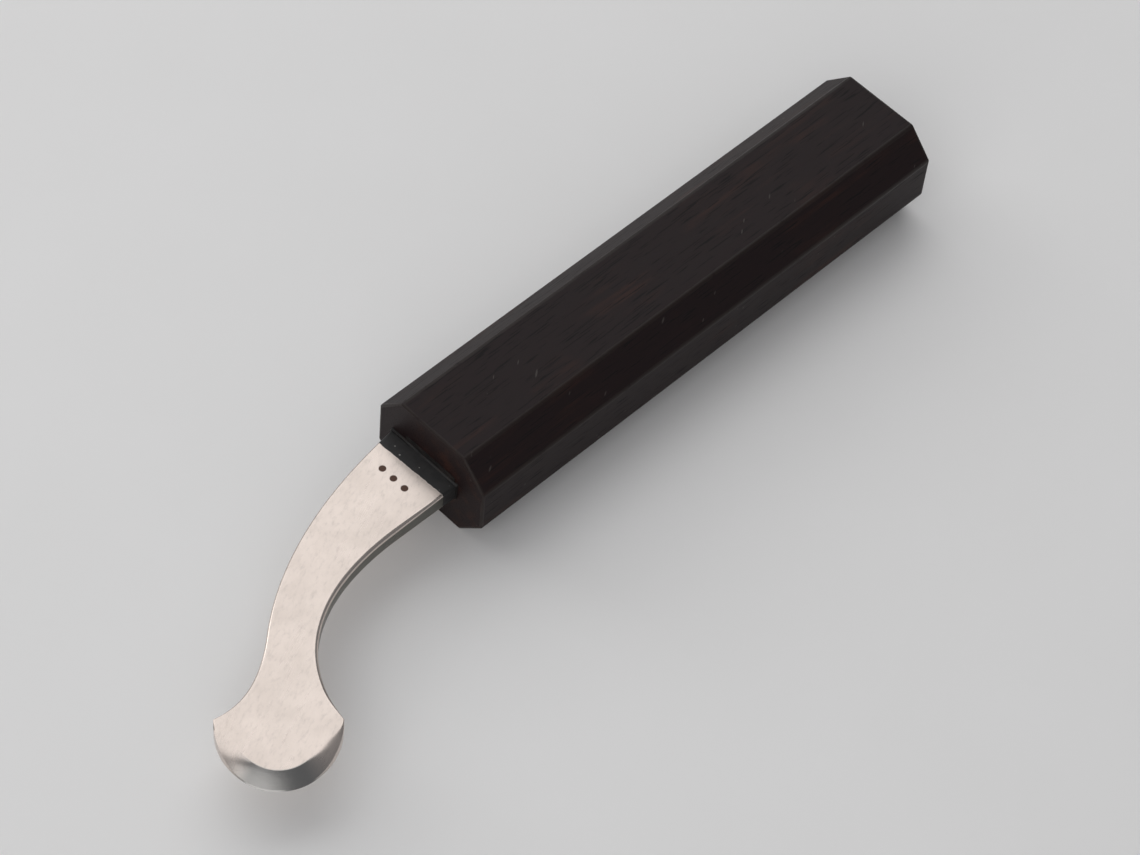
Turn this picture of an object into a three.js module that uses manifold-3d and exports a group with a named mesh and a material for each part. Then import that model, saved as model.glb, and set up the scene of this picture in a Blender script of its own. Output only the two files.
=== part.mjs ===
// Hook knife for woodcarving: a flat steel blade with a swan neck and a rounded cutting head, whose tang is
// bedded in glue in the blind slot of an eight-sided wooden handle.
//
// Millimetres. The origin is the middle of the handle's lower flat, on which the knife lies.
// +X runs along the handle to the blade, +Z is up, and the blade hooks over to +Y.

import * as THREE from 'three';
import { mergeVertices } from 'three/addons/utils/BufferGeometryUtils.js';
import Module from 'manifold-3d';

// ---- driving dimensions ---------------------------------------------------------------------------------

// Handle: a straight bar with eight flats.
const HANDLE_LENGTH = 94;
const HANDLE_WIDTH = 21.6;        // over the two side flats
const HANDLE_THICKNESS = 17.2;    // over the upper and lower flats
const CORNER_ACROSS = 4.3;        // what each corner flat takes off the width
const CORNER_DOWN = 4.6;          // what each corner flat takes off the thickness
const END_CHAMFER = 0.4;          // broken arris at both ends of the handle

// Blade: one flat bar, bent over sideways in its own plane.
const BLADE_THICKNESS = 3.0;
const ROOT_WIDTH = 13.4;          // where the blade leaves the handle
const ROOT_OFFSET = -1.1;         // the root's middle from the handle's axis
const ROOT_TURN = 6;              // degrees, the back edge's first direction
const STRAIGHT_LENGTH = 12;       // straight stretch of the inner edge
const NECK_FORWARD = 34.5;        // neck's middle, in front of the handle
const NECK_SIDE = 9.1;            // neck's middle, beside the handle's axis
const NECK_WIDTH = 7.2;
const NECK_TURN = 42;             // degrees, the way the neck points
const THROAT_LENGTH = 13.2;       // from the neck's middle to the middle between the head's corners
const THROAT_TURN = 40;           // degrees, the way from the one to the other
const HEAD_TURN = 48;             // degrees, the way the head points
const HEAD_WIDTH = 17.7;          // over its two corners
const CROWN_RISE = 10.5;          // how far the cutting edge stands out from between its corners
const BACK_FLARE = 62;            // degrees that the head's back turns out before its corner
const INNER_FLARE = 34;           // degrees that the head's inner side turns out before its corner
const CROWN_BEVEL = 2.4;          // width of the ground bevel at the crown
const CORNER_BEVEL = 0.3;         // width of the ground bevel at the corners
const EDGE_LAND = 0.2;            // thickness left at the cutting edge

// Tang, and the glue around it in the handle's slot.
const TANG_LENGTH = 55;
const TANG_WIDTH = 8;
const TANG_TIP_WIDTH = 5;
const GLUE_WALL = 0.5;
const GLUE_FOOT = 1.5;            // glue past the end of the tang
const FIT_GAP = 0.25;             // between pieces that touch

const CURVE_STEPS = 20;           // straight steps along each curved stretch

// ---- values that follow ---------------------------------------------------------------------------------

const FRONT = HANDLE_LENGTH / 2;
const AXIS_HEIGHT = HANDLE_THICKNESS / 2;
const BLADE_LOW = AXIS_HEIGHT - BLADE_THICKNESS / 2;
const BLADE_HIGH = AXIS_HEIGHT + BLADE_THICKNESS / 2;
const POCKET_MARGIN = FIT_GAP;                          // glue's inside, outside the tang
const GLUE_MARGIN = POCKET_MARGIN + GLUE_WALL;          // glue's outside, outside the tang
const SLOT_MARGIN = GLUE_MARGIN + FIT_GAP;              // the handle's slot, outside the tang
const OVERRUN = 2;                                      // how far a cutting tool runs past what it cuts

// ---- materials ------------------------------------------------------------------------------------------

const steel = new THREE.MeshStandardMaterial({ color: 0xd8d6d2, roughness: 0.22, metalness: 1 });
const ebony = new THREE.MeshStandardMaterial({ color: 0x1b1817, roughness: 0.38, metalness: 0 });
const glue = new THREE.MeshStandardMaterial({ color: 0x2a2019, roughness: 0.45, metalness: 0 });

// ---- helpers --------------------------------------------------------------------------------------------

const wasm = await Module();
wasm.setup();

function toSolid(geometry) {
  const bare = geometry.clone();
  bare.deleteAttribute('normal');
  bare.deleteAttribute('uv');
  const merged = mergeVertices(bare, 1e-4);
  const vertProperties = new Float32Array(merged.attributes.position.array);
  const triVerts = new Uint32Array(merged.index.array);
  return new wasm.Manifold(new wasm.Mesh({ numProp: 3, vertProperties, triVerts }));
}

function toMesh(solid, name, material) {
  const data = solid.getMesh();
  const geometry = new THREE.BufferGeometry();
  geometry.setAttribute('position', new THREE.BufferAttribute(new Float32Array(data.vertProperties), 3));
  geometry.setIndex(new THREE.BufferAttribute(new Uint32Array(data.triVerts), 1));
  const mesh = new THREE.Mesh(geometry, material);
  mesh.name = name;
  return mesh;
}

// A unit vector in the blade's plane, at an angle in degrees from +X.
function heading(degrees) {
  const angle = THREE.MathUtils.degToRad(degrees);
  return new THREE.Vector2(Math.cos(angle), Math.sin(angle));
}

// A curve that leaves one point in one direction and arrives at another in another, as near an arc as it can.
function sweepTo(from, fromDegrees, to, toDegrees) {
  const quarterTurn = THREE.MathUtils.degToRad(toDegrees - fromDegrees) / 4;
  const pull = from.distanceTo(to) / (3 * Math.cos(quarterTurn) ** 2);
  const leave = from.clone().addScaledVector(heading(fromDegrees), pull);
  const arrive = to.clone().addScaledVector(heading(toDegrees), -pull);
  return new THREE.CubicBezierCurve(from, leave, arrive, to);
}

// A closed outline in the XY plane, made a plate between two heights.
function plate(outline, low, high) {
  const settings = { depth: high - low, bevelEnabled: false, curveSegments: CURVE_STEPS };
  return toSolid(new THREE.ExtrudeGeometry(outline, settings).translate(0, 0, low));
}

// ---- handle ---------------------------------------------------------------------------------------------

// The bar's eight-sided section, drawn with its width along X and its thickness along Y.
function handleSection() {
  const halfWidth = HANDLE_WIDTH / 2;
  const halfThickness = HANDLE_THICKNESS / 2;
  const flatWidth = halfWidth - CORNER_ACROSS;
  const flatThickness = halfThickness - CORNER_DOWN;
  const section = new THREE.Shape();
  section.moveTo(flatWidth, -halfThickness);
  section.lineTo(halfWidth, -flatThickness);
  section.lineTo(halfWidth, flatThickness);
  section.lineTo(flatWidth, halfThickness);
  section.lineTo(-flatWidth, halfThickness);
  section.lineTo(-halfWidth, flatThickness);
  section.lineTo(-halfWidth, -flatThickness);
  section.lineTo(-flatWidth, -halfThickness);
  section.closePath();
  return section;
}

function makeHandle() {
  const bar = new THREE.ExtrudeGeometry(handleSection(), {
    depth: HANDLE_LENGTH - 2 * END_CHAMFER,
    bevelThickness: END_CHAMFER,
    bevelSize: END_CHAMFER,
    bevelOffset: -END_CHAMFER,
    bevelSegments: 1,
  });
  bar.translate(0, 0, END_CHAMFER - FRONT);
  bar.rotateX(Math.PI / 2);                    // section upright, length along -Y
  bar.rotateZ(Math.PI / 2);                    // length along +X
  bar.translate(0, 0, AXIS_HEIGHT);
  const slotDepth = TANG_LENGTH + POCKET_MARGIN + GLUE_FOOT + FIT_GAP;
  return toSolid(bar).subtract(tangShaped(SLOT_MARGIN, slotDepth, OVERRUN));
}

// ---- tang, glue and slot --------------------------------------------------------------------------------

// The tapering form of the tang, larger all round by a margin, from a depth in the handle to a point in
// front of its end. The tang's own taper sets the slope of the sides, so slot, glue and tang stay parallel.
function tangOutline(margin, depth, ahead) {
  const slope = (TANG_WIDTH - TANG_TIP_WIDTH) / 2 / TANG_LENGTH;
  const frontHalf = TANG_WIDTH / 2 + margin;
  const backHalf = frontHalf - slope * depth;
  return [
    new THREE.Vector2(FRONT + ahead, frontHalf),
    new THREE.Vector2(FRONT, frontHalf),
    new THREE.Vector2(FRONT - depth, backHalf),
    new THREE.Vector2(FRONT - depth, -backHalf),
    new THREE.Vector2(FRONT, -frontHalf),
    new THREE.Vector2(FRONT + ahead, -frontHalf),
  ];
}

function tangShaped(margin, depth, ahead) {
  return plate(new THREE.Shape(tangOutline(margin, depth, ahead)), BLADE_LOW - margin, BLADE_HIGH + margin);
}

// The glue is a sleeve with a closed foot, open where the tang enters.
function makeGlue() {
  const pocketDepth = TANG_LENGTH + POCKET_MARGIN;
  const sleeve = tangShaped(GLUE_MARGIN, pocketDepth + GLUE_FOOT, 0);
  return sleeve.subtract(tangShaped(POCKET_MARGIN, pocketDepth, OVERRUN));
}

// ---- blade ----------------------------------------------------------------------------------------------

const rootX = FRONT + FIT_GAP;
const backRoot = new THREE.Vector2(rootX, ROOT_OFFSET - ROOT_WIDTH / 2);
const innerRoot = new THREE.Vector2(rootX, ROOT_OFFSET + ROOT_WIDTH / 2);
const innerBend = new THREE.Vector2(FRONT + STRAIGHT_LENGTH, innerRoot.y);
const neck = new THREE.Vector2(FRONT + NECK_FORWARD, NECK_SIDE);
const throat = neck.clone().addScaledVector(heading(THROAT_TURN), THROAT_LENGTH);

const backNeck = neck.clone().addScaledVector(heading(NECK_TURN - 90), NECK_WIDTH / 2);
const innerNeck = neck.clone().addScaledVector(heading(NECK_TURN + 90), NECK_WIDTH / 2);
const backCorner = throat.clone().addScaledVector(heading(HEAD_TURN - 90), HEAD_WIDTH / 2);
const innerCorner = throat.clone().addScaledVector(heading(HEAD_TURN + 90), HEAD_WIDTH / 2);
const crown = throat.clone().addScaledVector(heading(HEAD_TURN), CROWN_RISE);

// The cutting edge: two flanks that start along the head and meet square across it at the crown.
const backFlank = sweepTo(backCorner, HEAD_TURN, crown, HEAD_TURN + 90);
const innerFlank = sweepTo(crown, HEAD_TURN + 90, innerCorner, HEAD_TURN + 180);

function bladeOutline() {
  const tang = tangOutline(0, TANG_LENGTH, FIT_GAP);
  const outline = new THREE.Shape();
  outline.add(sweepTo(backRoot, ROOT_TURN, backNeck, NECK_TURN));
  outline.add(sweepTo(backNeck, NECK_TURN, backCorner, HEAD_TURN - BACK_FLARE));
  outline.add(backFlank);
  outline.add(innerFlank);
  outline.add(sweepTo(innerCorner, HEAD_TURN + INNER_FLARE + 180, innerNeck, NECK_TURN + 180));
  outline.add(sweepTo(innerNeck, NECK_TURN + 180, innerBend, 180));
  outline.add(new THREE.LineCurve(innerBend, innerRoot));
  const stops = [innerRoot, ...tang, backRoot];
  for (let i = 1; i < stops.length; i += 1) {
    outline.add(new THREE.LineCurve(stops[i - 1], stops[i]));
  }
  return outline;
}

// Where the bevel's section stands along the cutting edge: point, outward direction and bevel width. The
// first and last stations lie past the corners, so that the bevel runs out through the sides of the head.
function bevelStations() {
  const stations = [];
  for (const flank of [backFlank, innerFlank]) {
    const first = flank === backFlank ? 0 : 1;
    for (let i = first; i <= CURVE_STEPS; i += 1) {
      const along = i / CURVE_STEPS;
      const tangent = flank.getTangent(along);
      const nearCrown = Math.sin(Math.PI / 2 * (flank === backFlank ? along : 1 - along)) ** 2;
      stations.push({
        point: flank.getPoint(along),
        outward: new THREE.Vector2(tangent.y, -tangent.x),
        width: CORNER_BEVEL + (CROWN_BEVEL - CORNER_BEVEL) * nearCrown,
      });
    }
  }
  const runOut = heading(HEAD_TURN).multiplyScalar(-OVERRUN);
  const before = { ...stations[0], point: backCorner.clone().add(runOut) };
  const after = { ...stations.at(-1), point: innerCorner.clone().add(runOut) };
  return [before, ...stations, after];
}

// What the grinder takes off one face (side is 1 above, -1 below): a three-sided wedge along the edge.
function bevelWedge(side) {
  const stations = bevelStations();
  const rise = (BLADE_THICKNESS - EDGE_LAND) / 2;
  const stretch = 1.2;                         // the wedge stands this much higher than the bevel
  const corners = [];
  for (const { point, outward, width } of stations) {
    const section = [[width, -rise], [width, rise * stretch], [-width * stretch, rise * stretch]];
    for (const [out, up] of section) {
      const height = AXIS_HEIGHT + side * (EDGE_LAND / 2 + up);
      corners.push(point.x + outward.x * out, point.y + outward.y * out, height);
    }
  }
  const faces = [[0, 1, 2]];
  for (let i = 0; i + 1 < stations.length; i += 1) {
    for (let j = 0; j < 3; j += 1) {
      const here = 3 * i + j;
      const beside = 3 * i + (j + 1) % 3;
      faces.push([here, here + 3, beside], [beside, here + 3, beside + 3]);
    }
  }
  const last = 3 * (stations.length - 1);
  faces.push([last, last + 2, last + 1]);
  const turned = side > 0 ? faces : faces.map(([a, b, c]) => [a, c, b]);
  const wedge = new THREE.BufferGeometry();
  wedge.setAttribute('position', new THREE.Float32BufferAttribute(corners, 3));
  wedge.setIndex(turned.flat());
  return toSolid(wedge);
}

function makeBlade() {
  const blank = plate(bladeOutline(), BLADE_LOW, BLADE_HIGH);
  return blank.subtract(bevelWedge(1)).subtract(bevelWedge(-1));
}

// ---- assembly -------------------------------------------------------------------------------------------

const knife = new THREE.Group();
knife.add(toMesh(makeHandle(), 'handle', ebony));
knife.add(toMesh(makeGlue(), 'tang_glue', glue));
knife.add(toMesh(makeBlade(), 'blade', steel));

export default knife;
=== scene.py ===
# %% [markdown]
# # A hook knife for carving
# The real knife is three pieces: a flat steel blade that hooks over to one side, an ebony handle with
# eight flats, and the dark glue that holds the blade's tang in the handle. The CAD frame says where each
# of them is. This script loads that frame and models the same three pieces again with the detail that a
# hand would feel: broken arrises, a ground edge, grain, polish marks and a smear of glue.

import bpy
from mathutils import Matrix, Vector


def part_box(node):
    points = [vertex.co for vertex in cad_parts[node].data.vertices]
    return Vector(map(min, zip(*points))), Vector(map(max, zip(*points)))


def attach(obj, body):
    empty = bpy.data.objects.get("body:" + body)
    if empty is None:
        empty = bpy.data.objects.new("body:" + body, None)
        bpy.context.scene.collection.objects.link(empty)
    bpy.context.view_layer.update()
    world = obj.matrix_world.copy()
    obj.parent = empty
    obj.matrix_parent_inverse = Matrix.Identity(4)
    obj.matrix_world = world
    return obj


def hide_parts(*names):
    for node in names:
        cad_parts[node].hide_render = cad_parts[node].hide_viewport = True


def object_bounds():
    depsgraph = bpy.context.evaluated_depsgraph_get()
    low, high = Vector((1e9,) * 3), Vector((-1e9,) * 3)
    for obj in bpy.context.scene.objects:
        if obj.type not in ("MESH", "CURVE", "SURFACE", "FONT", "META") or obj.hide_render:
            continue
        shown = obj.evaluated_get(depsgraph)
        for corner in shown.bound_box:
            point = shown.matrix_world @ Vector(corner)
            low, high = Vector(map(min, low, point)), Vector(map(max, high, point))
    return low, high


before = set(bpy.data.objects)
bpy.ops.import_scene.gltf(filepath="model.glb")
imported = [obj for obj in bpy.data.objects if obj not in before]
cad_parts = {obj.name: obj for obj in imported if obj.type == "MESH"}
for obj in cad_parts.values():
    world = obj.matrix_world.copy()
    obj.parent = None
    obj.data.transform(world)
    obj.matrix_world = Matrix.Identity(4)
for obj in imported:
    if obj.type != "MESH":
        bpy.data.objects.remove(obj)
cad_low, cad_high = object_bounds()
print("CAD nodes:", sorted(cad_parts), "box in metres:", tuple(cad_low), tuple(cad_high))

# %% [markdown]
# ## Places that everything shares
# A node's box gives the places that matter without typing them in: the ends and flats of the handle, the
# thickness of the blade, the length of the glue. Blender works in metres and a knife is thought of in
# millimetres, so one factor turns the one into the other.

# %% Take the measures from the frame
import math

import bmesh
import bpy
from mathutils import Quaternion, Vector, geometry, noise

MM = 0.001

handle_low, handle_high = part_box("handle")
blade_low, blade_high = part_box("blade")
glue_low, glue_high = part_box("tang_glue")
FRONT = handle_high.x                                  # the handle's front end
AXIS_Z = (handle_low.z + handle_high.z) / 2            # height of the handle's axis
HALF_THICKNESS = (blade_high.z - blade_low.z) / 2      # of the blade
print(f"handle front at {FRONT / MM:.2f} mm, axis {AXIS_Z / MM:.2f} mm up, "
      f"blade {2 * HALF_THICKNESS / MM:.2f} mm thick, glue {(glue_high.x - glue_low.x) / MM:.2f} mm long")

# %% [markdown]
# ## Small tools
# An operator works on whatever is selected, and the loaded CAD nodes still are, so every step starts from
# nothing selected. Blocks are added as a cube of the right size in the right place. Faces are picked by a
# test on their normal and area, which is what a modeller does by eye.

# %% Helpers for blocks, selections and modifiers
def deselect_all():
    if bpy.context.mode != "OBJECT":
        bpy.ops.object.mode_set(mode="OBJECT")
    bpy.ops.object.select_all(action="DESELECT")


def activate(piece):
    deselect_all()
    piece.select_set(True)
    bpy.context.view_layer.objects.active = piece


def add_block(name, low, high):
    """A cube between two corners, with its place and size in its mesh."""
    deselect_all()
    low, high = Vector(low), Vector(high)
    bpy.ops.mesh.primitive_cube_add(size=1, location=(low + high) / 2, scale=high - low)
    block = bpy.context.object
    block.name = block.data.name = name
    bpy.ops.object.transform_apply(location=True, rotation=True, scale=True)
    return block


def select_faces(piece, wanted):
    """In edit mode, selects the faces whose normal and area pass the test, and says how many."""
    bpy.ops.mesh.select_mode(type="FACE")
    bpy.ops.mesh.select_all(action="DESELECT")
    mesh = bmesh.from_edit_mesh(piece.data)
    mesh.normal_update()
    for face in mesh.faces:
        face.select_set(wanted(face.normal, face.calc_area()))
    bmesh.update_edit_mesh(piece.data)
    return sum(face.select for face in mesh.faces)


def combine(piece, tool, operation):
    """Adds a tool's form to a piece, or cuts it away, and clears the tool up."""
    activate(piece)
    step = piece.modifiers.new(operation.lower(), "BOOLEAN")
    step.operation, step.object, step.solver = operation, tool, "MANIFOLD"
    bpy.ops.object.modifier_apply(modifier=step.name)
    bpy.data.objects.remove(tool)


def smooth_up_to(piece, degrees):
    """Shades a piece smooth, except over edges that turn by more than some degrees."""
    activate(piece)
    bpy.ops.object.shade_smooth_by_angle(angle=math.radians(degrees))


def describe(piece):
    """Says how big a piece is and whether its mesh is closed."""
    mesh = bmesh.new()
    mesh.from_mesh(piece.data)
    open_edges = sum(1 for edge in mesh.edges if not edge.is_manifold)
    volume = mesh.calc_volume(signed=True)
    mesh.free()
    size = ", ".join(f"{side / MM:.2f}" for side in piece.dimensions)
    print(f"{piece.name}: {len(piece.data.polygons)} faces, {size} mm, open edges {open_edges}, "
          f"volume {volume / MM ** 3:.0f} mm3")


print("helpers ready")

# %% [markdown]
# ## The handle
# A maker planes the handle from a square stick: four sides first, then the four corners taken off. It
# could be a cylinder of eight sides, but the real section is wider than it is thick and its corner flats
# are not the same width as the others, so cutting a block is closer to the truth. Bisect with a filled
# cut is the plane iron: one stroke for each corner.

# %% Plane the corners off a block
CORNER_ACROSS = 4.3 * MM          # what a corner flat takes off the width
CORNER_DOWN = 4.6 * MM            # what a corner flat takes off the thickness

handle = add_block("handle_wood", handle_low, handle_high)
bpy.ops.object.mode_set(mode="EDIT")
for side in (-1, 1):
    for up in (-1, 1):
        bpy.ops.mesh.select_all(action="SELECT")
        on_side = Vector((0, side * handle_high.y, AXIS_Z + up * (handle_high.z - AXIS_Z - CORNER_DOWN)))
        outward = Vector((0, side * CORNER_DOWN, up * CORNER_ACROSS)).normalized()
        bpy.ops.mesh.bisect(plane_co=on_side, plane_no=outward, use_fill=True, clear_outer=True)
bpy.ops.object.mode_set(mode="OBJECT")
describe(handle)

# %% [markdown]
# The real arrises are crisp but not sharp: a few strokes of fine paper break them to about a third of a
# millimetre. A bevel of three steps does it. Each flat then gets a narrow inset border, so that the
# rounding stays at the arris and the flat's shading stays flat.

# %% Break the arrises
ARRIS = 0.32 * MM
BORDER = 0.3 * MM
FLAT_AREA = 100 * MM ** 2         # every flat is larger than this, and every rounded strip is smaller

bpy.ops.object.mode_set(mode="EDIT")
bpy.ops.mesh.select_all(action="SELECT")
bpy.ops.mesh.bevel(offset=ARRIS, offset_type="OFFSET", segments=3, profile=0.5, affect="EDGES")
flats = select_faces(handle, lambda normal, area: area > FLAT_AREA)
bpy.ops.mesh.inset(thickness=BORDER, use_individual=True)
bpy.ops.object.mode_set(mode="OBJECT")
print("flats with a border:", flats)
describe(handle)

# %% [markdown]
# ## The slot for the tang
# The tang tapers in width, so the slot does too. The slot, the glue in it and the tang are the same form
# with different margins: one helper makes all of them. A block is added, its back face is selected, and
# that face is scaled in width.

# %% Cut the slot
ROOT_GAP = 0.25 * MM              # from the handle's end to the blade's shoulders
TANG_LENGTH = 55 * MM
TANG_WIDTH = 8 * MM
TANG_TIP_WIDTH = 5 * MM
SLOT_MARGIN = 1.0 * MM            # slot, outside the tang
SLOT_DEPTH = TANG_LENGTH + 2.0 * MM
OVERRUN = 2 * MM                  # how far a tool runs past what it cuts


def tang_form(name, margin, depth, ahead):
    """The tapering form of the tang, larger by a margin, from a depth in the handle to a point ahead."""
    slope = (TANG_WIDTH - TANG_TIP_WIDTH) / 2 / TANG_LENGTH
    front_half = TANG_WIDTH / 2 + margin + slope * ahead
    back_half = TANG_WIDTH / 2 + margin - slope * depth
    height = HALF_THICKNESS + margin
    form = add_block(name, (FRONT - depth, -front_half, AXIS_Z - height),
                     (FRONT + ahead, front_half, AXIS_Z + height))
    bpy.ops.object.mode_set(mode="EDIT")
    select_faces(form, lambda normal, area: normal.x < -0.9)
    bpy.ops.transform.resize(value=(1, back_half / front_half, 1),
                             center_override=(FRONT - depth, 0, AXIS_Z))
    bpy.ops.object.mode_set(mode="OBJECT")
    return form


combine(handle, tang_form("slot_tool", SLOT_MARGIN, SLOT_DEPTH, OVERRUN), "DIFFERENCE")
describe(handle)

# %% [markdown]
# ## The blade's outline
# The blade is one flat bar that bends over sideways: a wide root at the handle, a narrow neck, and a head
# with a rounded cutting edge. Its outline is a handful of stations joined by smooth curves, each leaving
# one station in a known direction and arriving at the next in another. That is how a template would be
# drawn with French curves. The tang is part of the same outline.

# %% Draw the outline
ROOT_WIDTH = 13.4 * MM
ROOT_OFFSET = -1.1 * MM
ROOT_TURN = 6                     # degrees, the back edge's first direction
STRAIGHT_LENGTH = 12 * MM
NECK = Vector((FRONT + 34.5 * MM, 9.1 * MM, 0))
NECK_WIDTH = 7.2 * MM
NECK_TURN = 42
THROAT_LENGTH = 13.2 * MM
THROAT_TURN = 40
HEAD_TURN = 48
HEAD_WIDTH = 17.7 * MM
CROWN_RISE = 10.5 * MM
BACK_FLARE = 62
INNER_FLARE = 34
CURVE_STEPS = 32


def heading(degrees):
    """A unit vector in the blade's plane, at an angle from +X."""
    return Vector((math.cos(math.radians(degrees)), math.sin(math.radians(degrees)), 0))


def sweep(start, start_turn, end, end_turn):
    """Points of a curve that leaves in one direction and arrives in another, as near an arc as it can."""
    pull = (end - start).length / (3 * math.cos(math.radians(end_turn - start_turn) / 4) ** 2)
    points = geometry.interpolate_bezier(start, start + pull * heading(start_turn),
                                         end - pull * heading(end_turn), end, CURVE_STEPS + 1)
    return points[:-1]


ROOT_X = FRONT + ROOT_GAP
back_root = Vector((ROOT_X, ROOT_OFFSET - ROOT_WIDTH / 2, 0))
inner_root = Vector((ROOT_X, ROOT_OFFSET + ROOT_WIDTH / 2, 0))
inner_bend = Vector((FRONT + STRAIGHT_LENGTH, inner_root.y, 0))
throat = NECK + THROAT_LENGTH * heading(THROAT_TURN)
back_neck = NECK + NECK_WIDTH / 2 * heading(NECK_TURN - 90)
inner_neck = NECK + NECK_WIDTH / 2 * heading(NECK_TURN + 90)
back_corner = throat + HEAD_WIDTH / 2 * heading(HEAD_TURN - 90)
inner_corner = throat + HEAD_WIDTH / 2 * heading(HEAD_TURN + 90)
crown = throat + CROWN_RISE * heading(HEAD_TURN)

outline = []
outline += sweep(back_root, ROOT_TURN, back_neck, NECK_TURN)
outline += sweep(back_neck, NECK_TURN, back_corner, HEAD_TURN - BACK_FLARE)
edge_start = len(outline)
outline += sweep(back_corner, HEAD_TURN, crown, HEAD_TURN + 90)
outline += sweep(crown, HEAD_TURN + 90, inner_corner, HEAD_TURN + 180)
edge_end = len(outline)
outline += sweep(inner_corner, HEAD_TURN + INNER_FLARE + 180, inner_neck, NECK_TURN + 180)
outline += sweep(inner_neck, NECK_TURN + 180, inner_bend, 180)
outline += [inner_bend, inner_root]
outline += [Vector((x, y, 0)) for x, y in (
    (ROOT_X, TANG_WIDTH / 2), (FRONT - TANG_LENGTH, TANG_TIP_WIDTH / 2),
    (FRONT - TANG_LENGTH, -TANG_TIP_WIDTH / 2), (ROOT_X, -TANG_WIDTH / 2))]
TANG_POINTS = 5                   # the inner root and the four corners of the tang
print(f"{len(outline)} outline points, cutting edge from point {edge_start} to {edge_end}")

# %% [markdown]
# ## The blade's section
# Around the body the flats meet the sides over a small round, polished by hand. Around the head both
# flats are ground down to an edge in the middle of the thickness, widest at the crown and running out at
# the two corners, with a narrow honed line at the very edge. Both sections are written as the same number
# of rings, from the middle of the thickness up to the flat, each with how far in and how far up it lies.
# Then one can turn into the other along the outline.

# %% Write the section as rings
BACK_ROUND = 0.42 * MM            # radius between flat and side on the back edge
INNER_ROUND = 0.62 * MM           # and on the inner edge, which the polisher's wheel reaches better
CORNER_ROUND = 0.16 * MM          # at the head's two corners
TANG_ROUND = 0.3 * MM
CROWN_BEVEL = 2.4 * MM            # width of the bevel
CORNER_BEVEL = 1.7 * MM
CORNER_DEPTH = 0.42 * MM          # how deep the bevel reaches at the corners, where it is only a soft fall
ROLLED = 1.6                      # the bevel is rolled over into the flat near the corners
PLANE = 1.04                      # and all but plane at the crown
HONED_IN, HONED_UP = 0.13 * MM, 0.17 * MM
FULL_DEPTH = HALF_THICKNESS - HONED_UP
ROUND_STEPS = 8
BORDER_RING = 0.2 * MM            # a ring on the flat that keeps its shading flat

# along the edge, in shares of a flank from a corner to the crown: where each change starts, and its length
RUN_OUT = (0, 0.3)                # the bevel comes out of the round
WIDEN = (0, 0.7)
DEEPEN = (0.12, 0.58)
SHARPEN = (0.36, 0.36)            # from rolled over to plane
CORNER_BLEND = 0.4                # the same measure on the sides: the round shrinks to the corner's


def round_section(radius):
    """A quarter round between the side and the flat."""
    rings = [(0, 0)]
    for step in range(ROUND_STEPS + 1):
        turn = math.pi / 2 * step / ROUND_STEPS
        rings.append((radius * (1 - math.cos(turn)), HALF_THICKNESS - radius * (1 - math.sin(turn))))
    return rings + [(radius + BORDER_RING, HALF_THICKNESS)]


def ground_section(width, depth, roll):
    """A bevel of some width and depth: plane where roll is 1, turned over into the flat where it is more."""
    honed = HONED_IN * depth / FULL_DEPTH
    rings = [(0, 0)]
    for step in range(ROUND_STEPS + 1):
        share = step / ROUND_STEPS
        rings.append((honed + share * (width - honed), HALF_THICKNESS - depth * (1 - share) ** roll))
    return rings + [(width + BORDER_RING, HALF_THICKNESS)]


def ease(place, start, length):
    """0 before the start, 1 after the length, and a smooth rise between."""
    share = min(max((place - start) / length, 0), 1)
    return share * share * (3 - 2 * share)


def section_at(index):
    """The rings at an outline point, how much of an edge it is, and how crisply that is ground."""
    if edge_start < index < edge_end:
        along = (index - edge_start) / CURVE_STEPS                    # 0 at the back corner, 2 at the inner
        from_corner = min(along, 2 - along)
        width = CORNER_BEVEL + (CROWN_BEVEL - CORNER_BEVEL) * ease(from_corner, *WIDEN)
        depth = CORNER_DEPTH + (FULL_DEPTH - CORNER_DEPTH) * ease(from_corner, *DEEPEN)
        crisp = ease(from_corner, *SHARPEN)
        ground = ease(from_corner, *RUN_OUT)
        rounded = round_section(CORNER_ROUND)
        cut = ground_section(width, depth, ROLLED + (PLANE - ROLLED) * crisp)
        rings = [(a[0] + ground * (b[0] - a[0]), a[1] + ground * (b[1] - a[1])) for a, b in zip(rounded, cut)]
        return rings, ground, crisp
    if index >= len(outline) - TANG_POINTS:
        return round_section(TANG_ROUND), 0, 0
    to_corner = min(abs(index - edge_start), abs(index - edge_end)) / CURVE_STEPS
    full = BACK_ROUND if index < edge_start else INNER_ROUND
    return round_section(CORNER_ROUND + (full - CORNER_ROUND) * ease(to_corner, 0, CORNER_BLEND)), 0, 0


RING_COUNT = len(round_section(BACK_ROUND))
print(f"{RING_COUNT} rings; crown bevel slopes "
      f"{math.degrees(math.atan(FULL_DEPTH / (CROWN_BEVEL - HONED_IN))):.1f} degrees")

# %% [markdown]
# ## Raising the blade
# A ring of edges is added and its corners are pulled onto the outline. It is extruded straight up, one
# storey for each ring of the section, and the top is closed with one face. Every storey is then leaned in
# and lowered to its place. Only the upper half is made: a Mirror modifier gives the lower half, so both
# sides of the edge are the same, and the whole is lifted to the handle's axis. On the way each point gets
# three numbers for the steel's material: how much it is ground bevel, worn arris and side face. The bevel
# and the side face are where the steel gets painted dark reflection.

# %% Extrude, lean in, close and mirror
def lean_directions(points):
    """For each point, which way is inwards, long enough to keep the sides parallel at a corner."""
    ways = []
    for i, point in enumerate(points):
        before = (point - points[i - 1]).normalized()
        after = (points[(i + 1) % len(points)] - point).normalized()
        left_before, left_after = Vector((-before.y, before.x, 0)), Vector((-after.y, after.x, 0))
        ways.append((left_before + left_after) / (1 + left_before.dot(left_after)))
    return ways


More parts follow.
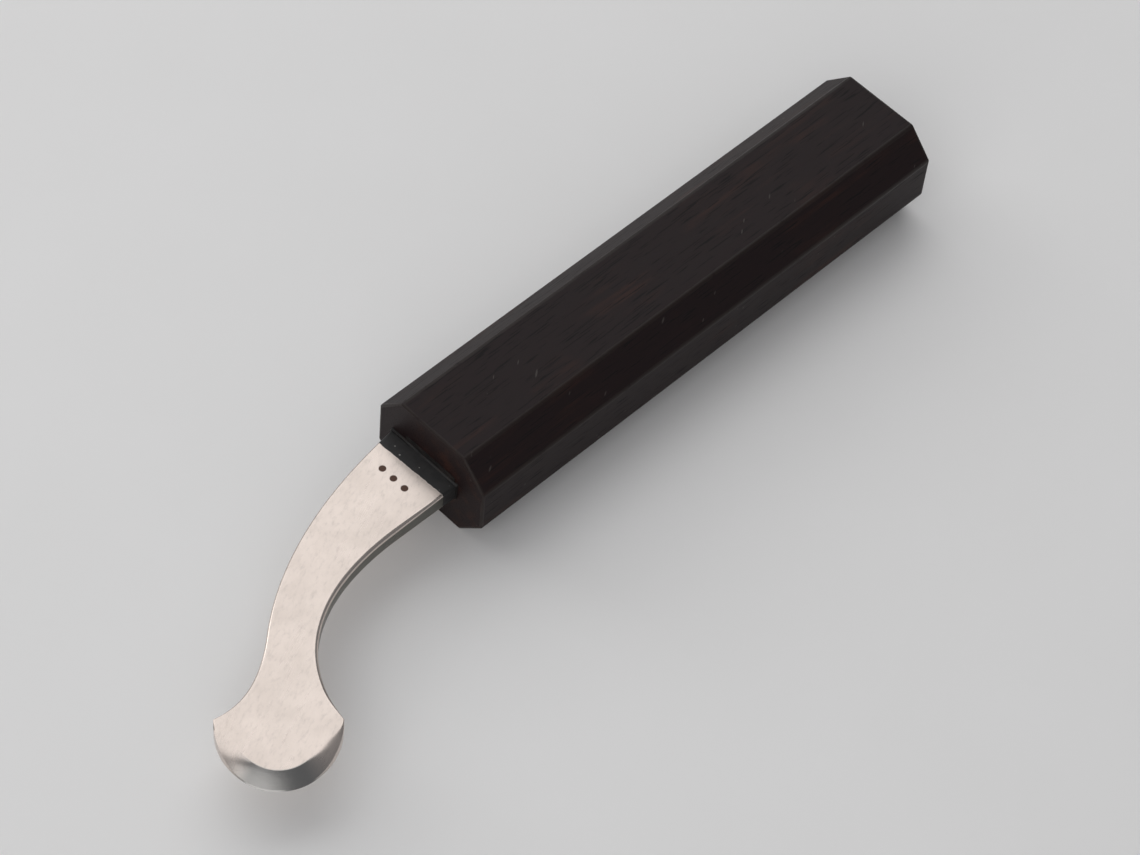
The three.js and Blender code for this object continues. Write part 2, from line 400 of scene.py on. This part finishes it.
STOREY = 1 * MM                   # height of a ring until it is put in its place
RING_RADIUS = 20 * MM             # of the circle that is pulled onto the outline
SEAM = 0.002 * MM                 # the two halves meet within this

deselect_all()
bpy.ops.mesh.primitive_circle_add(vertices=len(outline), radius=RING_RADIUS, fill_type="NOTHING")
blade = bpy.context.object
blade.name = blade.data.name = "blade_steel"
for vertex, point in zip(blade.data.vertices, outline):
    vertex.co = point
bpy.ops.object.mode_set(mode="EDIT")
bpy.ops.mesh.select_mode(type="VERT")
bpy.ops.mesh.select_all(action="SELECT")
for _ in range(RING_COUNT - 1):
    bpy.ops.mesh.extrude_region_move(TRANSFORM_OT_translate={"value": (0, 0, STOREY)})
bpy.ops.mesh.edge_face_add()
bpy.ops.object.mode_set(mode="OBJECT")

inwards = lean_directions(outline)
sections = [section_at(i) for i in range(len(outline))]
index_at = {tuple(vertex.co.xy): i for i, vertex in enumerate(blade.data.vertices[:len(outline)])}
ground_share = blade.data.attributes.new("ground", "FLOAT", "POINT")
worn_share = blade.data.attributes.new("arris", "FLOAT", "POINT")
side_share = blade.data.attributes.new("side", "FLOAT", "POINT")
for vertex in blade.data.vertices:
    index, ring = index_at[tuple(vertex.co.xy)], round(vertex.co.z / STOREY)
    rings, ground, crisp = sections[index]
    inset, height = rings[ring]
    ground_share.data[vertex.index].value = crisp if ring < RING_COUNT - 1 else 0
    worn_share.data[vertex.index].value = 1 - ground if 1 < ring < RING_COUNT - 1 else 0
    # marks the side faces, which the steel paints dark as a painted reflection
    side_share.data[vertex.index].value = 1 if ring < 2 and ground == 0 else 0
    place = outline[index] + inset * inwards[index]
    vertex.co = (place.x, place.y, height)

activate(blade)
half = blade.modifiers.new("lower_half", "MIRROR")
half.use_axis = (False, False, True)
half.merge_threshold = SEAM
bpy.ops.object.modifier_apply(modifier=half.name)
bpy.ops.object.mode_set(mode="EDIT")
bpy.ops.mesh.select_all(action="SELECT")
bpy.ops.transform.translate(value=(0, 0, AXIS_Z))
bpy.ops.mesh.normals_make_consistent(inside=False)
bpy.ops.object.mode_set(mode="OBJECT")
smooth_up_to(blade, 21)
describe(blade)

# %% [markdown]
# ## The glue
# Dark epoxy fills the slot round the tang, and a little of it is squeezed out where the blade's root meets
# the end of the handle. The filling is the tang's form once more. The squeezed-out collar is a thin slab
# round the root: it is rounded, subdivided and pushed about by a cloud pattern, since no two drops of glue
# set alike. Then the blade's own space is cut from both. Cutting leaves faces with dozens of corners, so
# they are split into triangles here, where it can be seen that the mesh stays closed.

# %% Fill the slot and press out a collar
HAIR = 0.02 * MM                  # what a visible joint leaves open
COLLAR_OUT = 0.12 * MM            # how far the collar stands out round the root
COLLAR_AHEAD = 0.38 * MM          # and how far it creeps up the blade
COLLAR_THIN = COLLAR_AHEAD / 3    # how far the slot's own filling stands out at the front
COLLAR_WAVE = 0.12 * MM           # how far the cloud pattern pushes the collar about
WAVE_ACROSS, WAVE_AHEAD = 1.7 * MM, 2.3 * MM           # size of the clouds for the two pushes
WAVE_SHIFT = Vector((5, 1, 2))    # keeps the two pushes apart
ROUNDED_OFF = 0.55 * COLLAR_OUT   # how far the collar's front edge is lowered
SLIVER = 0.002 * MM               # points nearer than this after the cuts are made one

glue = tang_form("glue_bed", SLOT_MARGIN - HAIR, SLOT_DEPTH - HAIR, HAIR + COLLAR_THIN)
collar = add_block(
    "collar",
    (FRONT + HAIR, back_root.y - COLLAR_OUT, AXIS_Z - HALF_THICKNESS - COLLAR_OUT),
    (FRONT + COLLAR_AHEAD, inner_root.y + COLLAR_OUT, AXIS_Z + HALF_THICKNESS + COLLAR_OUT))
bpy.ops.object.mode_set(mode="EDIT")
bpy.ops.mesh.select_all(action="SELECT")
bpy.ops.mesh.subdivide(number_cuts=3)
bpy.ops.mesh.subdivide(number_cuts=5)
bpy.ops.object.mode_set(mode="OBJECT")
for vertex in collar.data.vertices:
    # the front of the slab is pushed about, and its foot stays on the wood
    share = (vertex.co.x - FRONT - HAIR) / (COLLAR_AHEAD - HAIR)
    push = noise.noise(vertex.co / WAVE_ACROSS) * COLLAR_WAVE
    side = 1 if vertex.co.z > AXIS_Z else -1
    vertex.co.z += side * (push - ROUNDED_OFF * share ** 2)
    vertex.co.x += share * noise.noise(vertex.co / WAVE_AHEAD + WAVE_SHIFT) * COLLAR_WAVE
combine(glue, collar, "UNION")
combine(glue, tang_form("tang_tool", HAIR, TANG_LENGTH + HAIR, OVERRUN), "DIFFERENCE")
root_tool = add_block(
    "root_tool",
    (ROOT_X - HAIR, back_root.y - HAIR, AXIS_Z - HALF_THICKNESS - HAIR / 4),
    (ROOT_X + OVERRUN, inner_root.y + HAIR, AXIS_Z + HALF_THICKNESS + HAIR / 4))
combine(glue, root_tool, "DIFFERENCE")
activate(glue)
bpy.ops.object.mode_set(mode="EDIT")
bpy.ops.mesh.select_all(action="SELECT")
bpy.ops.mesh.remove_doubles(threshold=SLIVER)
bpy.ops.mesh.quads_convert_to_tris(quad_method="BEAUTY", ngon_method="BEAUTY")
bpy.ops.object.mode_set(mode="OBJECT")
smooth_up_to(glue, 40)
describe(glue)

# %% [markdown]
# ## Marking the arrises of the handle
# Wear needs to know where the arrises are. A number stored on each point says so: one on the rounding,
# zero on the flats. The materials read it by name.

# %% Store the arrises
ARRIS_REACH = ARRIS + BORDER / 5


def on_flat(place):
    """True where a point lies on one flat of the handle, away from the others."""
    across, up = abs(place.y), abs(place.z - AXIS_Z)
    half_width, half_height = handle_high.y, handle_high.z - AXIS_Z
    slant = Vector((CORNER_DOWN, CORNER_ACROSS)).normalized()
    reach = slant.dot(Vector((half_width, half_height - CORNER_DOWN)))
    gaps = (half_width - across, half_height - up, reach - slant.dot(Vector((across, up))),
            handle_high.x - place.x, place.x - handle_low.x)
    return sorted(gaps)[1] > ARRIS_REACH              # the nearest flat is the one it lies on


arris = handle.data.attributes.new("arris", "FLOAT", "POINT")
for vertex in handle.data.vertices:
    arris.data[vertex.index].value = 0 if on_flat(vertex.co) else 1
smooth_up_to(handle, 35)
print("arris points:", sum(1 for item in arris.data if item.value > 0.5), "of", len(arris.data))

# %% [markdown]
# ## Tools for node trees
# A material is a tree of nodes. A node's input either holds a plain value or is linked to another node's
# output, and one helper does whichever is needed. With it, adding a node, doing a sum, turning a pattern
# into a mask and mixing two colours are one line each.

# %% Helpers for nodes
def feed(tree, socket, value):
    """Gives an input its value: an output is linked to it, and a number or colour is set on it."""
    if isinstance(value, bpy.types.NodeSocket):
        tree.links.new(value, socket)
    elif socket.type == "RGBA":
        socket.default_value = (*value, 1)
    else:
        socket.default_value = value


def add(tree, kind, values=(), **settings):
    """A node with its settings made and its inputs fed, by name or number."""
    node = tree.nodes.new(kind)
    for key, value in settings.items():
        setattr(node, key, value)
    for key, value in dict(values).items():
        feed(tree, node.inputs[key], value)
    return node


def maths(tree, operation, *terms):
    """The outcome of one sum on numbers or masks."""
    return add(tree, "ShaderNodeMath", dict(enumerate(terms)), operation=operation).outputs[0]


def smooth_range(tree, value, low, high):
    """0 below low, 1 above high and a smooth step between. Low may be the larger, to turn it over."""
    values = {"Value": value, "From Min": low, "From Max": high}
    return add(tree, "ShaderNodeMapRange", values, interpolation_type="SMOOTHSTEP").outputs[0]


def cloudy(tree, place, scale, detail, roughness=0.5):
    """A cloudy pattern from 0 to 1."""
    values = {"Vector": place, "Scale": scale, "Detail": detail, "Roughness": roughness}
    return add(tree, "ShaderNodeTexNoise", values).outputs[0]


def mix_colour(tree, mask, first, second):
    """The first colour where the mask is 0, and the second where it is 1."""
    return add(tree, "ShaderNodeMix", {"Factor": mask, 6: first, 7: second}, data_type="RGBA").outputs[2]


def mix_value(tree, mask, first, second):
    """The same for a number, such as a roughness."""
    return add(tree, "ShaderNodeMix", {"Factor": mask, 2: first, 3: second}).outputs[0]


print("node helpers ready")

# %% [markdown]
# ## Shared effects
# The three finishes use the same few effects, each built once as a node group. A group only works out a
# mask. The material decides what the mask does to colour, roughness or height. The first effect is long
# streaks: a cloudy pattern on coordinates that are squeezed along one direction, which draws it out into
# wood grain or brush lines.

# %% Build the group of long streaks
GRAIN_DETAIL = 6.0


def new_group(name, inputs, outputs):
    """An empty group with its sockets, what its nodes can take, and what they have to give."""
    group = bpy.data.node_groups.new(name, "ShaderNodeTree")
    for label, kind, value in inputs:
        socket = group.interface.new_socket(name=label, in_out="INPUT", socket_type=kind)
        if value is not None:
            socket.default_value = value
    for label, kind in outputs:
        group.interface.new_socket(name=label, in_out="OUTPUT", socket_type=kind)
    return group, group.nodes.new("NodeGroupInput").outputs, group.nodes.new("NodeGroupOutput").inputs


streaks, take, give = new_group(
    "long_streaks",
    [("Vector", "NodeSocketVector", None), ("Stretch", "NodeSocketVector", (1, 1, 1)),
     ("Scale", "NodeSocketFloat", 100.0), ("Roughness", "NodeSocketFloat", 0.6)],
    [("Value", "NodeSocketFloat")])
stretch = {0: take["Vector"], 1: take["Stretch"]}
stretched = add(streaks, "ShaderNodeVectorMath", stretch, operation="MULTIPLY")
grain = cloudy(streaks, stretched.outputs[0], take["Scale"], GRAIN_DETAIL, take["Roughness"])
feed(streaks, give["Value"], grain)
print(streaks.name, len(streaks.nodes), "nodes")

# %% [markdown]
# Small specks come from a Voronoi pattern, which fills space with cells that each have a middle and a
# colour of their own. A lot drawn from that colour says which cells have a speck and how large it is.

# %% Build the group of small specks
SOLID_PART = 0.4                  # how much of a speck's radius is solid; the rest fades

specks, take, give = new_group(
    "small_specks",
    [("Vector", "NodeSocketVector", None), ("Scale", "NodeSocketFloat", 400.0),
     ("Size", "NodeSocketFloat", 0.2), ("Share", "NodeSocketFloat", 0.3)],
    [("Mask", "NodeSocketFloat")])
cells = add(specks, "ShaderNodeTexVoronoi", {"Vector": take["Vector"], "Scale": take["Scale"]})
lot = add(specks, "ShaderNodeSeparateColor", {0: cells.outputs["Color"]}).outputs
chosen = maths(specks, "LESS_THAN", lot[0], take["Share"])
radius = maths(specks, "MULTIPLY", take["Size"], lot[1])
spot = smooth_range(specks, cells.outputs["Distance"], radius, maths(specks, "MULTIPLY", radius, SOLID_PART))
feed(specks, give["Mask"], maths(specks, "MULTIPLY", spot, chosen))
print(specks.name, len(specks.nodes), "nodes")

# %% [markdown]
# Wear is patchy. A cloudy pattern is multiplied by the number stored on the arrises, so it is zero on the
# flats, and only its stronger patches are kept. Reach says how much of the arris is worn.

# %% Build the group of arris wear
SOFT_START = 0.6                  # wear begins to show at this share of the level where it is full

wear, take, give = new_group(
    "arris_wear",
    [("Vector", "NodeSocketVector", None), ("Arris", "NodeSocketFloat", 0.0),
     ("Scale", "NodeSocketFloat", 200.0), ("Reach", "NodeSocketFloat", 0.5)],
    [("Mask", "NodeSocketFloat")])
patches = cloudy(wear, take["Vector"], take["Scale"], 4.0, 0.65)
uneven = maths(wear, "MULTIPLY", patches, take["Arris"])
full = maths(wear, "SUBTRACT", 1.0, take["Reach"])
feed(wear, give["Mask"], smooth_range(wear, uneven, maths(wear, "MULTIPLY", full, SOFT_START), full))
print(wear.name, len(wear.nodes), "nodes")

# %% [markdown]
# ## Tools for materials
# Each material starts with one Principled shader and the object's own coordinates. The next helpers place
# a group, read a number stored on the points, turn a height into a bump, and finish the surface.

# %% Helpers for materials
def new_material(name):
    """A material with its tree, its shader and the object's coordinates."""
    material = bpy.data.materials.new(name)
    material.use_nodes = True
    tree = material.node_tree
    place = tree.nodes.new("ShaderNodeTexCoord").outputs["Object"]
    return material, tree, tree.nodes["Principled BSDF"], place


def use_group(tree, group, place, **values):
    return add(tree, "ShaderNodeGroup", {"Vector": place, **values}, node_tree=group).outputs[0]


def read_point(tree, name):
    return add(tree, "ShaderNodeAttribute", attribute_name=name).outputs["Fac"]


def bump(tree, height, distance, strength, **under):
    """A normal from a height, on top of the Normal given as what lies under it, if any."""
    values = {"Height": height, "Distance": distance, "Strength": strength, **under}
    return add(tree, "ShaderNodeBump", values).outputs[0]


def finish_surface(piece, material, shader, colour, gloss, normal):
    """Feeds the shader what changes over the surface, and puts the material on the piece."""
    tree = material.node_tree
    for label, value in (("Base Color", colour), ("Roughness", gloss), ("Normal", normal)):
        feed(tree, shader.inputs[label], value)
    piece.data.materials.clear()
    piece.data.materials.append(material)
    print(material.name, len(tree.nodes), "nodes, on", piece.name)


print("material helpers ready")

# %% [markdown]
# ## Ebony
# Ebony is nearly black, with hair-fine darker pores along the grain, a few brown streaks and a dull wax
# polish. Grain is noise that is stretched a long way along the handle: the same pattern seen end on gives
# the dots of end grain without a second texture. Use leaves dust, a few fine scratches askew to the grain,
# and arrises that are rubbed a little lighter.

# %% Work out the ebony's patterns
ebony, tree, shader, place = new_material("ebony_waxed")
SCRATCH_TURN = (0.3, 0.2, math.radians(38))
SCRATCH_STRETCH = (14, 1, 1)

broad = use_group(tree, streaks, place, Stretch=(0.06, 1, 1), Scale=520.0, Roughness=0.6)
fine = use_group(tree, streaks, place, Stretch=(0.035, 1, 1), Scale=1900.0, Roughness=0.6)
pores = use_group(tree, streaks, place, Stretch=(0.045, 1, 1), Scale=5200.0, Roughness=0.3)
patchy = smooth_range(tree, cloudy(tree, place, 75.0, 3.0), 0.42, 0.62)
brown = maths(tree, "MULTIPLY", smooth_range(tree, broad, 0.45, 0.68), patchy)
pore = smooth_range(tree, pores, 0.6, 0.68)
rubbed = use_group(tree, wear, place, Arris=read_point(tree, "arris"), Scale=420.0, Reach=0.55)
dust = use_group(tree, specks, place, Scale=260.0, Size=0.09, Share=0.05)
askew = add(tree, "ShaderNodeMapping", {"Vector": place, "Rotation": SCRATCH_TURN, "Scale": SCRATCH_STRETCH},
            vector_type="TEXTURE").outputs[0]
scratch = use_group(tree, specks, askew, Scale=800.0, Size=0.17, Share=0.45)
print("ebony patterns:", len(tree.nodes), "nodes")

# %% [markdown]
# The masks are laid over each other as a finisher would see them: grain first, then brown, pores, rubbed
# arrises, dust and scratches. The weaker ones are mixed in by only part of their strength. Pores are also
# cut in as bump. A wax polish has less sheen than varnish, so the specular level is low.

# %% Mix the ebony
EBONY_DARK = (0.0065, 0.0024, 0.0028)
EBONY_LIGHT = (0.0125, 0.0042, 0.0044)
HEART_BROWN = (0.026, 0.0085, 0.0055)
PORE_BLACK = (0.0042, 0.0024, 0.0025)
RUBBED_WOOD = (0.022, 0.016, 0.013)
DUST_GREY = (0.07, 0.065, 0.06)
SCRATCH_GREY = (0.075, 0.066, 0.06)
WAX_SHEEN = 0.24
PORE_DEPTH = 0.012 * MM

colour = mix_colour(tree, fine, EBONY_DARK, EBONY_LIGHT)
for mask, strength, tint in ((brown, 1.0, HEART_BROWN), (pore, 1.0, PORE_BLACK), (rubbed, 0.5, RUBBED_WOOD),
                             (dust, 0.5, DUST_GREY), (scratch, 0.55, SCRATCH_GREY)):
    colour = mix_colour(tree, maths(tree, "MULTIPLY", mask, strength), colour, tint)
gloss = mix_value(tree, fine, 0.50, 0.60)
gloss = mix_value(tree, pore, gloss, 0.7)
gloss = mix_value(tree, rubbed, gloss, 0.42)
height = maths(tree, "SUBTRACT", maths(tree, "MULTIPLY", fine, 0.35), pore)
shader.inputs["Specular IOR Level"].default_value = WAX_SHEEN
finish_surface(handle, ebony, shader, colour, gloss, bump(tree, height, PORE_DEPTH, 0.35))

# %% [markdown]
# ## Steel
# The blade is polished on a fine wheel: bright, but satin, with brush lines that run with the blade, faint
# clouds where the wheel dwelt, and small darker flecks. The bevel is ground finer, across the edge. Near
# the handle a strip was never polished: it keeps the dark skin of the forge and a smear of glue, with a
# wavy border. Three small etched dots take the place of a maker's size mark.

# %% Find the strip at the root and the three dots
steel, tree, shader, place = new_material("steel_satin")
STRIP_AT_INNER = 2.5 * MM         # how far the dark strip reaches along the inner edge
STRIP_AT_BACK = 3.1 * MM          # and along the back edge
STRIP_WAVE = 0.32 * MM
STRIP_FULL, STRIP_GONE = -0.1 * MM, 0.02 * MM          # its border is this soft, from full to gone
DOT_X = FRONT + 6.0 * MM
DOT_Y = (-3.6 * MM, -1.3 * MM, 1.0 * MM)
DOT_RADIUS = 0.56 * MM
DOT_FULL, DOT_GONE = 0.86, 1.08                        # shares of the radius

axes = add(tree, "ShaderNodeSeparateXYZ", {0: place}).outputs
ripple = cloudy(tree, place, 900.0, 3.0)
border = add(tree, "ShaderNodeMapRange",
             {"Value": axes[1], "From Min": back_root.y, "From Max": inner_root.y,
              "To Min": FRONT + STRIP_AT_BACK, "To Max": FRONT + STRIP_AT_INNER}).outputs[0]
past = maths(tree, "SUBTRACT", axes[0], maths(tree, "MULTIPLY_ADD", ripple, STRIP_WAVE, border))
strip = smooth_range(tree, past, STRIP_GONE + STRIP_WAVE / 2, STRIP_FULL + STRIP_WAVE / 2)
dots = 0.0
for dot_y in DOT_Y:
    middle = (DOT_X, dot_y, AXIS_Z + HALF_THICKNESS)
    away = add(tree, "ShaderNodeVectorMath", {0: place, 1: middle}, operation="DISTANCE").outputs["Value"]
    dot = smooth_range(tree, away, DOT_RADIUS * DOT_GONE, DOT_RADIUS * DOT_FULL)
    dots = maths(tree, "MAXIMUM", dots, dot)
print("dark strip, mm:", STRIP_AT_INNER / MM, "to", STRIP_AT_BACK / MM, "and", len(DOT_Y), "dots")

# %% [markdown]
# The brush lines follow the blade from the root to the head, so their pattern is turned by about the
# blade's mean direction. On the bevel they run across the edge, so the pattern there is read by the angle
# about the middle of the head.

# %% Work out the steel's patterns
BRUSH_TURN = math.radians(24)

turned = add(tree, "ShaderNodeMapping", {"Vector": place, "Rotation": (0, 0, -BRUSH_TURN)},
             vector_type="POINT").outputs[0]
brushed = use_group(tree, streaks, turned, Stretch=(0.05, 1, 1), Scale=2600.0, Roughness=0.7)
soft = use_group(tree, streaks, turned, Stretch=(0.25, 1, 1), Scale=330.0, Roughness=0.5)
fleck = use_group(tree, streaks, turned, Stretch=(0.45, 1, 1), Scale=1500.0, Roughness=0.75)
clouds = cloudy(tree, place, 160.0, 5.0, 0.6)

from_head = add(tree, "ShaderNodeVectorMath", {0: place, 1: tuple(throat)}, operation="SUBTRACT").outputs[0]
head_axes = add(tree, "ShaderNodeSeparateXYZ", {0: from_head}).outputs
turn = maths(tree, "ARCTAN2", head_axes[1], head_axes[0])
radial = add(tree, "ShaderNodeCombineXYZ", {0: turn}).outputs[0]
grind = use_group(tree, streaks, radial, Stretch=(1, 1, 1), Scale=70.0, Roughness=0.7)

ground = read_point(tree, "ground")
rubbed = use_group(tree, wear, place, Arris=read_point(tree, "arris"), Scale=300.0, Reach=0.6)
# bright chips in the dark skin, partly painted glints
chip_glint = use_group(tree, specks, place, Scale=1900.0, Size=0.42, Share=0.2)
print("steel patterns:", len(tree.nodes), "nodes")

# %% [markdown]
# Steel is metal all over, except on the dark strip and in the etched dots, whose skin hardly conducts. The
# narrow sides are painted dark, and the crisply ground bevel is painted darker, both as painted reflection.
# Three bumps lie on each other: brush lines, the wheel's shallow waves, and the relief of the strip and the
# dots.

# %% Mix the steel
STEEL_DULL = (0.65, 0.57, 0.515)
STEEL_BRIGHT = (0.735, 0.645, 0.585)
FLECK_GREY = (0.42, 0.375, 0.345)
# painted reflection: the crisply ground bevel is painted darker, most at the crown
BEVEL_PAINTED_DARK = (0.37, 0.36, 0.345)
# painted reflection: the narrow side faces are painted dark
SIDE_PAINTED_DARK_REFLECTION = (0.17, 0.165, 0.145)
SKIN_DARK = (0.012, 0.012, 0.013)
SKIN_LIGHT = (0.035, 0.033, 0.032)
CHIP_GLINT_BRIGHT = (0.36, 0.35, 0.33)
ETCHED_BROWN = (0.085, 0.036, 0.02)
BRUSH_DEPTH, WAVE_DEPTH, SKIN_DEPTH = 0.004 * MM, 0.05 * MM, 0.05 * MM

colour = mix_colour(tree, smooth_range(tree, clouds, 0.3, 0.7), STEEL_DULL, STEEL_BRIGHT)
flecks = maths(tree, "MULTIPLY", smooth_range(tree, fleck, 0.46, 0.78), 0.5)
skin = mix_colour(tree, chip_glint, mix_colour(tree, ripple, SKIN_DARK, SKIN_LIGHT), CHIP_GLINT_BRIGHT)
for mask, tint in ((flecks, FLECK_GREY), (ground, BEVEL_PAINTED_DARK), (read_point(tree, "side"), SIDE_PAINTED_DARK_REFLECTION),
                   (strip, skin), (dots, ETCHED_BROWN)):
    colour = mix_colour(tree, mask, colour, tint)
gloss = maths(tree, "MULTIPLY_ADD", soft, 0.12, 0.20)
gloss = maths(tree, "ADD", gloss, maths(tree, "MULTIPLY", brushed, 0.06))
for mask, roughness in ((ground, 0.24), (rubbed, 0.2), (strip, 0.5), (dots, 0.6)):
    gloss = mix_value(tree, mask, gloss, roughness)
covered = maths(tree, "MAXIMUM", maths(tree, "MULTIPLY", strip, 0.8), dots)
feed(tree, shader.inputs["Metallic"], maths(tree, "SUBTRACT", 1.0, covered))
lines = bump(tree, mix_value(tree, ground, brushed, grind), BRUSH_DEPTH, 0.5)
waves = bump(tree, clouds, WAVE_DEPTH, 0.35, Normal=lines)
relief = maths(tree, "SUBTRACT", maths(tree, "MULTIPLY", strip, ripple), dots)
finish_surface(blade, steel, shader, colour, gloss, bump(tree, relief, SKIN_DEPTH, 0.6, Normal=waves))

# %% [markdown]
# ## Glue
# Set epoxy tinted with ebony dust: dark, a little brown where it is thin, glossy on the skin it formed by
# itself and dull where a rag dragged over it.

# %% Make the glue
EPOXY_DARK = (0.004, 0.0036, 0.0036)
EPOXY_THIN = (0.016, 0.011, 0.009)
GRIT_BROWN = (0.06, 0.048, 0.04)
GLUE_DEPTH = 0.06 * MM

epoxy, tree, shader, place = new_material("glue_dark")
tint = cloudy(tree, place, 700.0, 4.0)
grit = use_group(tree, specks, place, Scale=1900.0, Size=0.4, Share=0.25)
colour = mix_colour(tree, smooth_range(tree, tint, 0.35, 0.7), EPOXY_DARK, EPOXY_THIN)
colour = mix_colour(tree, maths(tree, "MULTIPLY", grit, 0.6), colour, GRIT_BROWN)
gloss = mix_value(tree, tint, 0.35, 0.75)
height = maths(tree, "ADD", tint, maths(tree, "MULTIPLY", grit, 0.3))
finish_surface(glue, epoxy, shader, colour, gloss, bump(tree, height, GLUE_DEPTH, 0.7))

# %% [markdown]
# ## Joining the pieces to the frame
# The knife has no joint, so every piece rides on the one body. Each piece stands for the CAD node of the
# same part, which is hidden.

# %% Ride and replace
for piece, node, finish in ((handle, "handle", "handle_ebony"), (blade, "blade", "blade_steel"),
                            (glue, "tang_glue", "tang_glue")):
    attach(piece, "root")
    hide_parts(node)
    print(piece.name, "stands for", node, "with finish", finish)

# %% [markdown]
# ## Floor
# A plain pale table to lie on. It is large, so that its edge is out of every view, and only its surface
# matters: almost white, with a little unevenness in its sheen.

# %% Lay the floor
FLOOR_SIDE = 8.0
FLOOR_DROP = 0.05 * MM            # clear of the handle's lower flat, since two faces in one plane flicker
PAPER_SHADE = (0.84, 0.83, 0.815)
PAPER_LIGHT = (0.88, 0.87, 0.86)

deselect_all()
bpy.ops.mesh.primitive_plane_add(size=FLOOR_SIDE, location=(0, 0, -FLOOR_DROP))
floor = bpy.context.object
floor.name = floor.data.name = "floor"
paper, tree, shader, place = new_material("floor_paper")
mottle = cloudy(tree, place, 35.0, 4.0)
feed(tree, shader.inputs["Base Color"], mix_colour(tree, mottle, PAPER_SHADE, PAPER_LIGHT))
feed(tree, shader.inputs["Roughness"], mix_value(tree, mottle, 0.55, 0.7))
floor.data.materials.append(paper)
print("floor side", FLOOR_SIDE, "m")

# %% [markdown]
# ## Light
# A bright satin blade shows what it reflects, so the light is chosen by reflection. One large soft panel
# stands where the flat of the blade mirrors it to the camera. A small weak one, low behind the back edge,
# lights the bevel beside it. The third lights the front end of the handle. It is large, so that no part of
# it is bright enough to burn out the blade where another view mirrors it. Nothing stands where the crown's
# bevel would mirror it, so that bevel stays dark, and the handle's flats step down in tone.

# %% Set up the soft panels
SUBJECT = (cad_low + cad_high) / 2
AIR_TINT = (0.93, 0.95, 1.0)
AIR_STRENGTH = 0.24


def add_panel(name, towards, distance, width, height, energy):
    """A soft light that stands off in a direction and faces the knife. Metres and watts."""
    deselect_all()
    way = Vector(towards).normalized()
    bpy.ops.object.light_add(type="AREA", location=SUBJECT + way * distance)
    panel = bpy.context.object
    panel.name = name
    panel.rotation_mode = "QUATERNION"
    panel.rotation_quaternion = way.to_track_quat("Z", "Y")
    panel.data.shape = "RECTANGLE"
    panel.data.size, panel.data.size_y, panel.data.energy = width, height, energy
    print(f"{name}: {width} by {height} m, {energy} W, {distance} m away")


add_panel("key_panel", (-0.20, -0.62, 0.74), 1.1, 2.2, 1.4, 9.0)
add_panel("back_panel", (0.25, -0.92, 0.42), 1.4, 0.6, 0.6, 1.6)
add_panel("front_panel", (0.82, 0.38, 0.46), 1.4, 1.6, 1.6, 9.5)

world = bpy.data.worlds.new("studio_air")
world.use_nodes = True
air = world.node_tree.nodes["Background"].inputs
air["Color"].default_value = (*AIR_TINT, 1)
air["Strength"].default_value = AIR_STRENGTH
bpy.context.scene.world = world
bpy.context.scene.view_settings.view_transform = "Standard"
bpy.context.scene.view_settings.look = "None"

# %% [markdown]
# ## Camera
# The knife is seen from in front of the blade's hook and a little to the side, looking down at about 54
# degrees, with its handle running away to the upper right. The camera stands about half a metre off, and
# the lens is long enough for the knife to fill most of the picture. It is turned a few degrees about its
# own axis, as a hand-held camera is.

# %% Place the camera
CAMERA_PLACE = Vector((265.942, 211.77, 436.397)) * MM
CAMERA_ROLL = math.radians(6.378)
LENS, SENSOR_WIDTH = 116.0, 36.0                       # millimetres, as Blender wants them
NEAREST, FARTHEST = 0.02, 50.0

deselect_all()
bpy.ops.object.camera_add(location=CAMERA_PLACE)
camera = bpy.context.object
camera.name = "camera"
camera.data.lens = LENS
camera.data.sensor_width = SENSOR_WIDTH
camera.data.clip_start, camera.data.clip_end = NEAREST, FARTHEST
camera.rotation_mode = "QUATERNION"
towards = (SUBJECT - CAMERA_PLACE).normalized()
camera.rotation_quaternion = towards.to_track_quat("-Z", "Y") @ Quaternion((0, 0, 1), CAMERA_ROLL)
bpy.context.scene.camera = camera
print(f"camera {(SUBJECT - CAMERA_PLACE).length:.3f} m from the knife")

# %% [markdown]
# ## Last step
# The view layer is brought up to date.

# %% Update the view layer
bpy.context.view_layer.update()
